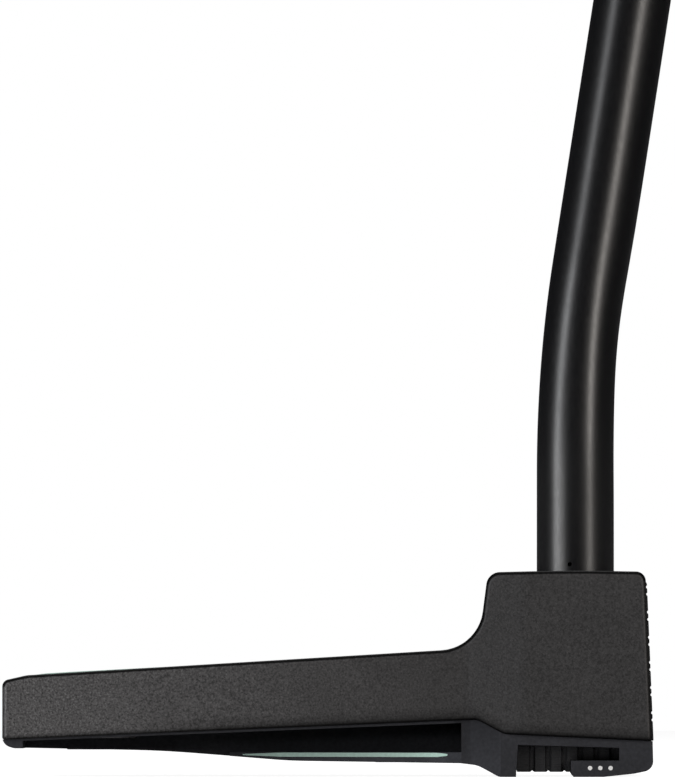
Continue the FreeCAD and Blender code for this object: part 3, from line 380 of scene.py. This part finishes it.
# A dark band just over the joint, and a wider, weaker one that is left out towards the rear.
over = above_joint(blasted)
near_joint = blasted.ramp(over, 0.1 * MM, 0.65 * MM, 0.33, 1.0)
front_shade = blasted.math("MAXIMUM", blasted.ramp(over, 0.1 * MM, 1.8 * MM, 0.55, 1.0),
                           blasted.ramp(blasted.axis("X"), -55 * MM, -25 * MM, 1.0, 0.0))
edges = blasted.math("MULTIPLY", edges, blasted.math("MULTIPLY", near_joint, front_shade))
brightness = blasted.math("MULTIPLY", blasted.math("MULTIPLY", tone, level), edges)
blasted.colour_from(blasted.blend(blasted.ramp(brightness, 0.0, BRIGHTEST),
                                  (0.0, 0.0, 0.0), shade(blasted.colour, BRIGHTEST)))
blasted.roughness_from(blasted.ramp(grain, 0.3, 0.7, 0.54, 0.66))
blasted.bump(grain, 0.015 * MM, 0.5)
dress("head_body", blasted)

# %% [markdown]
# ## Sole frame and face
# The frame is steel under a satin black coat, a little bluer than the body.  Its rounded edges are
# painted darker: painted shade.  Its sloping flank behind the front block is painted darker towards
# the top, to stand for shade under the wings.  The face insert is moulded polymer.  The weight bar
# has fine machining lines, and its front tongue is painted darker: painted shade.  The lines are a
# wave texture used as relief: cutting them would take thousands of faces.

# %% Sole and face finishes
satin = Finish("satin_black_steel", (0.052, 0.053, 0.0595), 0.6, metallic=1.0)
coat = satin.noise(0.4 * MM, 3.0)
# Painted shade: the frame's rounded edges are painted darker, down to 0.35 of the coat.
satin_painted_edge_shade = satin.ramp(flatness(satin, 0.80, 0.93), 0.0, 1.0, 0.35, 1.0)
satin_tone = satin.math("MULTIPLY", satin.ramp(coat, 0.3, 0.7, 0.88, 1.12), satin_painted_edge_shade)
flank = satin.math("MULTIPLY", satin.ramp(satin.axis("X"), -18 * MM, -15.5 * MM),
                   satin.ramp(satin.axis("X"), -11.6 * MM, -11.0 * MM, 1.0, 0.0))
flank_shade = satin.ramp(satin.axis("Z"), 1.6 * MM, 6.3 * MM, 0.05, 0.38)
satin_tone = satin.math("MULTIPLY", satin_tone,
                        satin.math("SUBTRACT", 1.0, satin.math("MULTIPLY", flank, flank_shade)))
satin_brightest = 1.5
satin.colour_from(satin.blend(satin.ramp(satin_tone, 0.0, satin_brightest),
                              (0.0, 0.0, 0.0), shade(satin.colour, satin_brightest)))
satin.roughness_from(satin.ramp(satin.noise(5 * MM), 0.35, 0.65, 0.56, 0.64))
satin.bump(coat, 0.008 * MM, 0.5)
dress("sole_frame", satin)

polymer = Finish("face_polymer", (0.003, 0.003, 0.0034), 0.6, specular=0.15)
polymer.roughness_from(polymer.ramp(polymer.noise(0.4 * MM), 0.3, 0.7, 0.54, 0.66))
polymer.bump(polymer.noise(0.12 * MM, 1.0), 0.006 * MM, 0.5)
dress("face_plate", polymer)

bar_coat = Finish("bar_coat", (0.042, 0.0422, 0.0445), 0.55, metallic=1.0)
LINE_PITCH = 0.29 * MM
bar_coat.bump(bar_coat.waves(LINE_PITCH, "Z"), 0.02 * MM, 0.6)
# Painted shade: the bar's front tongue is painted darker, most of all low down.
tongue_painted_shade = bar_coat.math("MULTIPLY", bar_coat.ramp(bar_coat.axis("X"), -3.2 * MM, -1.6 * MM),
                       bar_coat.ramp(bar_coat.axis("Z"), 2.2 * MM, 3.3 * MM, 1.0, 0.45))
bar_coat.colour_from(bar_coat.blend(tongue_painted_shade, bar_coat.colour, shade(bar_coat.colour, 0.12)))
bar_coat.roughness_from(bar_coat.ramp(bar_coat.noise(0.5 * MM), 0.3, 0.7, 0.5, 0.62))
dress("weight_bar", bar_coat)

mint = Finish("mint_fill", MINT, 0.45)
mint.colour_from(mint.blend(mint.ramp(mint.noise(0.35 * MM), 0.35, 0.65),
                            shade(MINT, 0.93), shade(MINT, 1.07)))
mint.bump(mint.noise(0.2 * MM), 0.01 * MM, 0.4)
for name in ("sole_inlays", "crown_line", "ball_lines", "shaft_band"):
    dress(name, mint)

white = Finish("white_fill", (0.72, 0.72, 0.72), 0.5)
white.bump(white.noise(0.1 * MM), 0.01 * MM, 0.4)
dress("index_marks", white)

# %% [markdown]
# ## Fittings and hidden pieces
# The screws are black oxide, the weights dark nickel.  The glue, the foam plug and the grip tape sit
# inside, but each still has its own finish, so a cut or exploded view shows what it is.

# %% Steel fittings, glue, foam and tape
oxide = Finish("black_oxide", (0.02, 0.02, 0.021), 0.36)
oxide.roughness_from(oxide.ramp(oxide.noise(0.3 * MM), 0.3, 0.7, 0.28, 0.45))
for name in ("frame_screws", "weight_bar_screws"):
    dress(name, oxide)

nickel = Finish("dark_nickel", (0.16, 0.16, 0.165), 0.3, metallic=1.0)
nickel.roughness_from(nickel.ramp(nickel.noise(0.5 * MM), 0.3, 0.7, 0.24, 0.4))
for name in ("toe_weight", "heel_weight"):
    dress(name, nickel)

glue = Finish("cured_glue", (0.03, 0.03, 0.026), 0.3)
glue.bump(glue.noise(0.8 * MM), 0.03 * MM, 0.5)
for name in ("face_adhesive", "shaft_epoxy"):
    dress(name, glue)
foam = Finish("plug_foam", (0.3, 0.3, 0.28), 0.8)
foam.bump(foam.cells(0.5 * MM), 0.1 * MM, 0.6)
dress("shaft_plug", foam)
paper = Finish("tape_paper", (0.6, 0.56, 0.44), 0.75)
paper.bump(paper.noise(0.6 * MM), 0.04 * MM, 0.6)
dress("grip_tape", paper)

# %% [markdown]
# ## Surfaces from rings
# The shaft, the grip, its cap and the badge are all skins over a row of rings.  One function takes
# the rings as an array and joins each to the next with four-sided faces.  Rings that run up the
# outside and back down the inside make a closed wall, and a ring shrunk to a point closes a pole.

# %% Ring surfaces


def ring_angles(count):
    """Angles of the points of one ring, once round."""
    return np.linspace(0, 2 * math.pi, count, endpoint=False)


def ring_piece(name, rings, looped, finish, crease=35):
    """Mesh over rings[i, j] = point j of ring i; looped also joins the last ring to the first."""
    count, around = rings.shape[:2]
    index = np.arange(count * around).reshape(count, around)
    low = index if looped else index[:-1]
    high = np.roll(index, -1, axis=0) if looped else index[1:]
    faces = np.stack([low, np.roll(low, -1, axis=1), np.roll(high, -1, axis=1), high], axis=-1)
    mesh = bpy.data.meshes.new(name)
    mesh.from_pydata(rings.reshape(-1, 3).tolist(), [], faces.reshape(-1, 4).tolist())
    work = bmesh.new()
    work.from_mesh(mesh)
    bmesh.ops.remove_doubles(work, verts=work.verts, dist=0.0005 * MM)
    work.to_mesh(mesh)
    work.free()
    mesh.polygons.foreach_set("use_smooth", np.ones(len(mesh.polygons), dtype=bool))
    mesh.set_sharp_from_angle(angle=math.radians(crease))
    mesh.materials.append(finish.material)
    piece = bpy.data.objects.new(name, mesh)
    scene.collection.objects.link(piece)
    print(name, len(mesh.polygons), "faces")
    return piece


def lathe(profile, centre, across, along, axis, count=96):
    """Rings of a turned shape: each (radius, height) of the profile swept once round the axis."""
    profile = np.array(profile, dtype=float)
    angles = ring_angles(count)
    spoke = np.outer(np.cos(angles), across) + np.outer(np.sin(angles), along)
    return (np.array(centre) + profile[:, 0, None, None] * spoke[None]
            + profile[:, 1, None, None] * np.array(axis))


# %% [markdown]
# ## The shaft
# A putter shaft is one steel tube: a straight foot glued into the head, a bend forward and back
# towards the golfer, a smaller second bend, and a straight top that grows in steps of 38.1 mm up to
# the grip.  Its line is found by adding up its direction along its length, so the bends are true
# arcs.  A curve object with a bevel would be quicker, but its stations could not be set one by one.

# %% Line of the shaft
SHAFT_RADIUS = 4.79 * MM
SHAFT_WALL = 0.55 * MM
SHAFT_LENGTH = 863.6 * MM
LEAN_FORWARD = 0.1555            # forward run per unit of height between the bends
LIE_SLOPE = 0.364                # run towards the golfer per unit of height
BEND_ONE_Z, BEND_ONE_RADIUS = 37.3 * MM, 70 * MM
BEND_TWO_Z, BEND_TWO_RADIUS = 132.7 * MM, 120 * MM
STEP_COUNT, STEP_PITCH = 12, 38.1 * MM
STEP_HEIGHT, STEP_RUN = 0.213 * MM, 0.6 * MM
BUTT_LENGTH = 105 * MM           # from the butt to the first step

shaft_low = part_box("shaft")[0]
foot = np.array([shaft_low.x + SHAFT_RADIUS, shaft_low.y + SHAFT_RADIUS, shaft_low.z])


def unit(vector):
    """The vector's direction, with length 1."""
    return np.array(vector, dtype=float) / np.linalg.norm(vector)


UP = np.array([0.0, 0.0, 1.0])
BETWEEN = unit([LEAN_FORWARD, LIE_SLOPE, 1])
TOP = unit([0, LIE_SLOPE, 1])
angle_one = math.acos(UP @ BETWEEN)
angle_two = math.acos(BETWEEN @ TOP)
bend_one_start = BEND_ONE_Z - foot[2]
bend_one_end = bend_one_start + BEND_ONE_RADIUS * angle_one
height_after = BEND_ONE_Z + BEND_ONE_RADIUS * math.sin(angle_one)
bend_two_start = bend_one_end + (BEND_TWO_Z - height_after) / BETWEEN[2]
bend_two_end = bend_two_start + BEND_TWO_RADIUS * angle_two


def turn(before, after, share):
    """Direction turned evenly from before to after as share goes from 0 to 1."""
    angle = math.acos(before @ after)
    share = np.clip(share, 0, 1)[:, None]
    return (np.sin((1 - share) * angle) * before + np.sin(share * angle) * after) / math.sin(angle)


def shaft_line(stations):
    """Points and directions of the axis at distances from the foot: the direction, added up."""
    first = turn(UP, BETWEEN, (stations - bend_one_start) / (bend_one_end - bend_one_start))
    second = turn(BETWEEN, TOP, (stations - bend_two_start) / (bend_two_end - bend_two_start))
    way = np.where((stations < bend_two_start)[:, None], first, second)
    middle = (way[1:] + way[:-1]) / 2
    middle /= np.linalg.norm(middle, axis=1)[:, None]
    steps = middle * np.diff(stations)[:, None]
    return foot + np.vstack([np.zeros(3), np.cumsum(steps, axis=0)]), way


def step_rise(below_butt):
    """Radius added by the steps: each adds its height over a short slope above it."""
    edges = BUTT_LENGTH + STEP_PITCH * np.arange(STEP_COUNT)
    rise = (edges[None] + STEP_RUN - below_butt[:, None]) / STEP_RUN
    return STEP_HEIGHT * np.clip(rise, 0, 1).sum(axis=1)


VENT_Z = 26.2 * MM               # height of a small hole in the shaft's toe side
VENT_SPAN = 0.9                  # millimetres of closely spaced rings either side of it
step_edges = SHAFT_LENGTH - BUTT_LENGTH - STEP_PITCH * np.arange(STEP_COUNT)
stations = np.unique(np.round(np.concatenate([
    np.linspace(0, bend_one_start, 14),
    VENT_Z - foot[2] + np.linspace(-VENT_SPAN, VENT_SPAN, 13) * MM,
    np.linspace(bend_one_start, bend_one_end, 40),
    np.linspace(bend_one_end, bend_two_start, 14),
    np.linspace(bend_two_start, bend_two_end, 30),
    np.linspace(bend_two_end, SHAFT_LENGTH, 50),
    step_edges, step_edges - STEP_RUN]), 7))
line, way = shaft_line(stations)
butt = line[-1]
print("shaft axis", round(float(stations[-1]), 4), "m, butt at", butt.round(4))

# %% [markdown]
# Rings are set square to that line, one outside and one inside the wall.  The foot bend was made
# over a small mandrel, which leaves the front of the tube drawn in a little above it.

# %% Skin of the shaft
SHAFT_AROUND = 96
SQUEEZE = 0.30 * MM              # how much the front of the foot bend is drawn in
SQUEEZE_Z, SQUEEZE_REACH = 54 * MM, 10 * MM


def shaft_rings(radii):
    """Rings square to the axis, pulled in at the front of the foot bend by a smooth bump."""
    ahead = np.array([1.0, 0, 0]) - way * way[:, :1]
    ahead /= np.linalg.norm(ahead, axis=1)[:, None]
    aside = np.cross(way, ahead)
    angles = ring_angles(SHAFT_AROUND)
    bump = SQUEEZE * np.exp(-((line[:, 2] - SQUEEZE_Z) / SQUEEZE_REACH) ** 2)
    radius = radii[:, None] - bump[:, None] * np.clip(np.cos(angles), 0, 1)[None] ** 2
    return (line[:, None] + (radius * np.cos(angles))[..., None] * ahead[:, None]
            + (radius * np.sin(angles))[..., None] * aside[:, None])


shaft_coat = Finish("shaft_black", (0.0030, 0.0030, 0.0036), 0.33)
fine = shaft_coat.noise(0.30 * MM, 3.0, shaft_coat.scaled((1, 1, 0.4)))
shaft_coat.roughness_from(shaft_coat.ramp(fine, 0.3, 0.7, 0.29, 0.37))
shaft_coat.bump(fine, 0.004 * MM, 0.6)

outer_radii = SHAFT_RADIUS + step_rise(SHAFT_LENGTH - stations)
outside = shaft_rings(outer_radii)
inside = shaft_rings(outer_radii - SHAFT_WALL)[::-1]
SHAFT_CREASE = 50                # degrees, above which an edge stays sharp
shaft_tube = ring_piece("shaft_tube", np.concatenate([outside, inside]), True, shaft_coat,
                        crease=SHAFT_CREASE)

# %% [markdown]
# The air that the glue pushes out of the bore leaves by a pin hole just above the head.  A short
# rod is subtracted from the tube wall to open it, which keeps the rest of the skin as it was.

# %% Vent hole of the shaft
VENT_RADIUS = 0.27 * MM
VENT_X = foot[0] - 0.72 * MM
DRILL_LENGTH = 6 * MM            # reaches from outside the wall to the middle of the tube
drill_rings = lathe([(0, 0), (VENT_RADIUS, 0), (VENT_RADIUS, DRILL_LENGTH), (0, DRILL_LENGTH)],
                    (VENT_X, foot[1] - DRILL_LENGTH, VENT_Z), (1, 0, 0), (0, 0, -1), (0, 1, 0), 20)
drill = ring_piece("vent_drill", drill_rings, False, shaft_coat)
boolean = shaft_tube.modifiers.new("vent", "BOOLEAN")
boolean.operation = "DIFFERENCE"
boolean.solver = "EXACT"
boolean.object = drill
graph = bpy.context.evaluated_depsgraph_get()
drilled = bpy.data.meshes.new_from_object(shaft_tube.evaluated_get(graph))
shaft_tube.modifiers.clear()
drilled.set_sharp_from_angle(angle=math.radians(SHAFT_CREASE))
shaft_tube.data = drilled
bpy.data.objects.remove(drill)
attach(shaft_tube, "root")
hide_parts("shaft")
print("shaft tube", len(drilled.polygons), "faces after drilling")

# %% [markdown]
# ## The grip
# A pistol grip is a moulded rubber sleeve: round at the back, flat in front for the thumbs, thin at
# its mouth and swelling to the butt.  Its outline is the smaller of a circle and a flat, joined by a
# smooth minimum, and everything moulded into it is a depth taken off that outline: ribs across the
# flat, two long lines beside it, a lattice of shallow channels round the back, and rings at the ends.

# %% Shape of the grip
GRIP_LENGTH = 267 * MM
ALONG = TOP                                        # towards the butt
ACROSS = np.array([1.0, 0, 0])                     # ahead
BACK = np.cross(ALONG, ACROSS)                     # away from the thumbs
GRIP_ROWS, GRIP_AROUND = 560, 164
BACK_RADIUS = ([0, 0.05, 0.14, 0.30, 0.62, 0.94, 1.0], [13.1, 13.0, 12.5, 11.7, 11.1, 9.75, 9.3])
FLAT_DEPTH = ([0, 0.30, 0.62, 0.94, 1.0], [9.8, 9.3, 9.15, 8.65, 8.3])
CORNER_POWER = 16                # how tight the turn from flat to round is
RIB_DEPTH, RIB_PITCH, RIB_WIDTH = 0.32, 3.6, 1.5
BORDER_DEPTH, BORDER_PLACE, BORDER_WIDTH = 0.40, 11.2, 1.3
LATTICE_DEPTH, LATTICE_PITCH, LATTICE_WIDTH = 0.34, 6.4, 1.35
LATTICE_SLANT = 0.62             # girth crossed for each millimetre down the grip
END_RING_DEPTH, MOUTH_DEPTH = 0.45, 0.9


def smooth_step(value, low, high):
    """0 below low, 1 above high and 3t^2 - 2t^3 between, t being the share of the way."""
    share = np.clip((value - low) / (high - low), 0, 1)
    return share * share * (3 - 2 * share)


def curve_through(places, heights, where):
    """Smooth curve through a few heights: straight runs averaged over a short stretch."""
    reach = np.linspace(-0.05, 0.05, 21)
    return np.mean([np.interp(np.clip(where + shift, 0, 1), places, heights)
                    for shift in reach], axis=0)


def channel(distance, width):
    """1 in the middle of a moulded channel, falling smoothly to 0 at its edges."""
    return 1 - smooth_step(np.abs(distance), width * 0.15, width * 0.5)


def lattice_distance(value, pitch):
    """Signed distance to the nearest whole number of pitches."""
    return (value / pitch - np.round(value / pitch)) * pitch


def grip_radius(share, angle):
    """Outline and relief of the grip in millimetres: smooth minimum of circle and flat, less depths.

    share runs from 0 at the butt to 1 at the mouth; the angle is 0 at the middle of the flat.
    """
    back = curve_through(*BACK_RADIUS, share)
    flat = curve_through(*FLAT_DEPTH, share)
    facing = np.clip(np.cos(angle), 1e-3, 1)
    outline = (back ** -CORNER_POWER + (flat / facing) ** -CORNER_POWER) ** (-1 / CORNER_POWER)
    down = share * GRIP_LENGTH / MM
    sideways = np.sin(angle) * outline
    girth = angle * back
    body = smooth_step(down, 12, 16) * (1 - smooth_step(down, 246, 250))
    on_flat = (np.cos(angle) > 0) * (1 - smooth_step(np.abs(sideways), 5.2, 6.2))
    ribs = RIB_DEPTH * channel(lattice_distance(down, RIB_PITCH), RIB_WIDTH) * on_flat * body
    border = BORDER_DEPTH * channel(np.abs(girth) - BORDER_PLACE, BORDER_WIDTH) * body
    round_back = smooth_step(np.abs(girth), 12.6, 13.6) * body
    rising = channel(lattice_distance(down * LATTICE_SLANT + girth, LATTICE_PITCH), LATTICE_WIDTH)
    falling = channel(lattice_distance(down * LATTICE_SLANT - girth, LATTICE_PITCH), LATTICE_WIDTH)
    lattice = LATTICE_DEPTH * np.maximum(rising, falling) * round_back
    rings = END_RING_DEPTH * (channel(down - 7.5, 1.6) + channel(down - 254, 1.4)
                              + channel(down - 258, 1.4))
    mouth = MOUTH_DEPTH * smooth_step(down, 264.6, 267) ** 2
    return outline - ribs - border - lattice - rings - mouth


def butt_frame(across, back, along):
    """Points given along the butt's own axes, in metres."""
    return butt + across[..., None] * ACROSS + back[..., None] * BACK + along[..., None] * ALONG


share = np.linspace(1, 0, GRIP_ROWS)[:, None]
angle = ring_angles(GRIP_AROUND)[None] + math.pi
angle = (angle + math.pi) % (2 * math.pi) - math.pi
radius = grip_radius(share, angle) * MM
grip_skin = butt_frame(radius * np.sin(angle), -radius * np.cos(angle),
                       -share * GRIP_LENGTH + 0 * angle)
core = np.array([[0.0, 7.65], [0.40, 7.65], [1.0, 6.75]])    # share of the length, bore radius in mm
core_radius = core[:, 1, None] * MM + 0 * angle
grip_core = butt_frame(core_radius * np.sin(angle), -core_radius * np.cos(angle),
                       -core[:, 0, None] * GRIP_LENGTH + 0 * angle)

rubber = Finish("grip_rubber", (0.0125, 0.0125, 0.013), 0.66, specular=0.4)
scuff = rubber.noise(18 * MM, 4.0)
rubber.colour_from(rubber.blend(rubber.ramp(scuff, 0.35, 0.7), shade(rubber.colour, 0.85),
                                shade(rubber.colour, 1.35)))
rubber.roughness_from(rubber.ramp(scuff, 0.3, 0.7, 0.58, 0.76))
rubber.bump(rubber.noise(0.45 * MM), 0.03 * MM, 0.6)

grip_sleeve = ring_piece("grip_sleeve", np.concatenate([grip_skin, grip_core]), True, rubber,
                         crease=60)
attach(grip_sleeve, "root")
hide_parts("grip")
for name in ("toe_weight_seal", "heel_weight_seal"):
    dress(name, rubber)

# %% [markdown]
# ## Cap and badge
# Both are turned shapes, so both are a profile swept round an axis.  The cap closes the butt with a
# low dome, two moulded rings and the vent in its middle.  The badge under the keel is a plain disc
# with fine turned rings, the kind of blank that a maker leaves for a mark.

# %% Butt cap
CAP_THICKNESS = 3.2              # this and the cap's other sizes are in millimetres
CAP_RADIUS = 13.5
CAP_VENT = 1.1
EDGE_ROUND, LOWER_CHAMFER, VENT_CHAMFER = 1.2, 0.4, 0.25
CAP_CHANNEL_DEPTH, CAP_CHANNEL_WIDTH = 0.35, 1.1


def cap_height(radius):
    """Dome that falls slowly from the middle, with two channels moulded into it."""
    dome = CAP_THICKNESS - 0.8 * (radius / (CAP_RADIUS - 1)) ** 2
    inner = CAP_CHANNEL_DEPTH * channel(radius - 5.2, CAP_CHANNEL_WIDTH)
    outer = CAP_CHANNEL_DEPTH * channel(radius - 9.6, CAP_CHANNEL_WIDTH)
    return dome - inner - outer


top_radii = np.linspace(CAP_RADIUS - EDGE_ROUND, CAP_VENT + VENT_CHAMFER, 60)
edge_turn = np.linspace(0, math.pi / 2, 8)
edge_z = cap_height(CAP_RADIUS - EDGE_ROUND) - EDGE_ROUND + EDGE_ROUND * np.sin(edge_turn)
edge_r = CAP_RADIUS - EDGE_ROUND + EDGE_ROUND * np.cos(edge_turn)
cap_profile = [(CAP_VENT, 0.0), (CAP_RADIUS - LOWER_CHAMFER, 0.0), (CAP_RADIUS, LOWER_CHAMFER)]
cap_profile += list(zip(edge_r, edge_z))
cap_profile += list(zip(top_radii[1:], cap_height(top_radii[1:])))
cap_profile += [(CAP_VENT, CAP_THICKNESS - VENT_CHAMFER)]
cap_rings = lathe(np.array(cap_profile) * MM, butt, ACROSS, BACK, ALONG)
butt_cap = ring_piece("butt_cap", cap_rings, True, rubber, crease=40)
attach(butt_cap, "root")
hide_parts("grip_cap")

# %% Badge
badge_low, badge_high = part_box("sole_badge")
badge_centre = (badge_low + badge_high) / 2
badge_radius = (badge_high.x - badge_low.x) / 2 / MM
badge_thick = (badge_high.z - badge_low.z) / MM
BADGE_CHAMFER = 0.25
TURNED_PITCH = 0.5               # millimetres from one turned ring to the next


def badge_depth(radius):
    """Depth below the badge's face: fine rings, and a wider channel near the rim."""
    rings = 0.035 * (1 - np.cos(2 * math.pi * radius / TURNED_PITCH)) * smooth_step(radius, 0.4, 1.0)
    return rings * (radius < 5.6) + 0.22 * channel(radius - 6.4, 0.8)


face_radii = np.linspace(0, badge_radius - BADGE_CHAMFER, 130)
badge_profile = [(0, badge_thick), (badge_radius, badge_thick), (badge_radius, BADGE_CHAMFER)]
badge_profile += list(zip(face_radii[::-1], badge_depth(face_radii[::-1])))
badge_rings = lathe(np.array(badge_profile) * MM, (badge_centre.x, badge_centre.y, badge_low.z),
                    (0, 1, 0), (1, 0, 0), (0, 0, 1))
alloy = Finish("badge_alloy", (0.1, 0.1, 0.105), 0.35, metallic=1.0)
alloy.roughness_from(alloy.ramp(alloy.noise(0.5 * MM), 0.3, 0.7, 0.28, 0.42))
alloy.bump(alloy.noise(0.3 * MM), 0.006 * MM, 0.4)
badge_disc = ring_piece("badge_disc", badge_rings, False, alloy, crease=40)
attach(badge_disc, "root")
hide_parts("sole_badge")
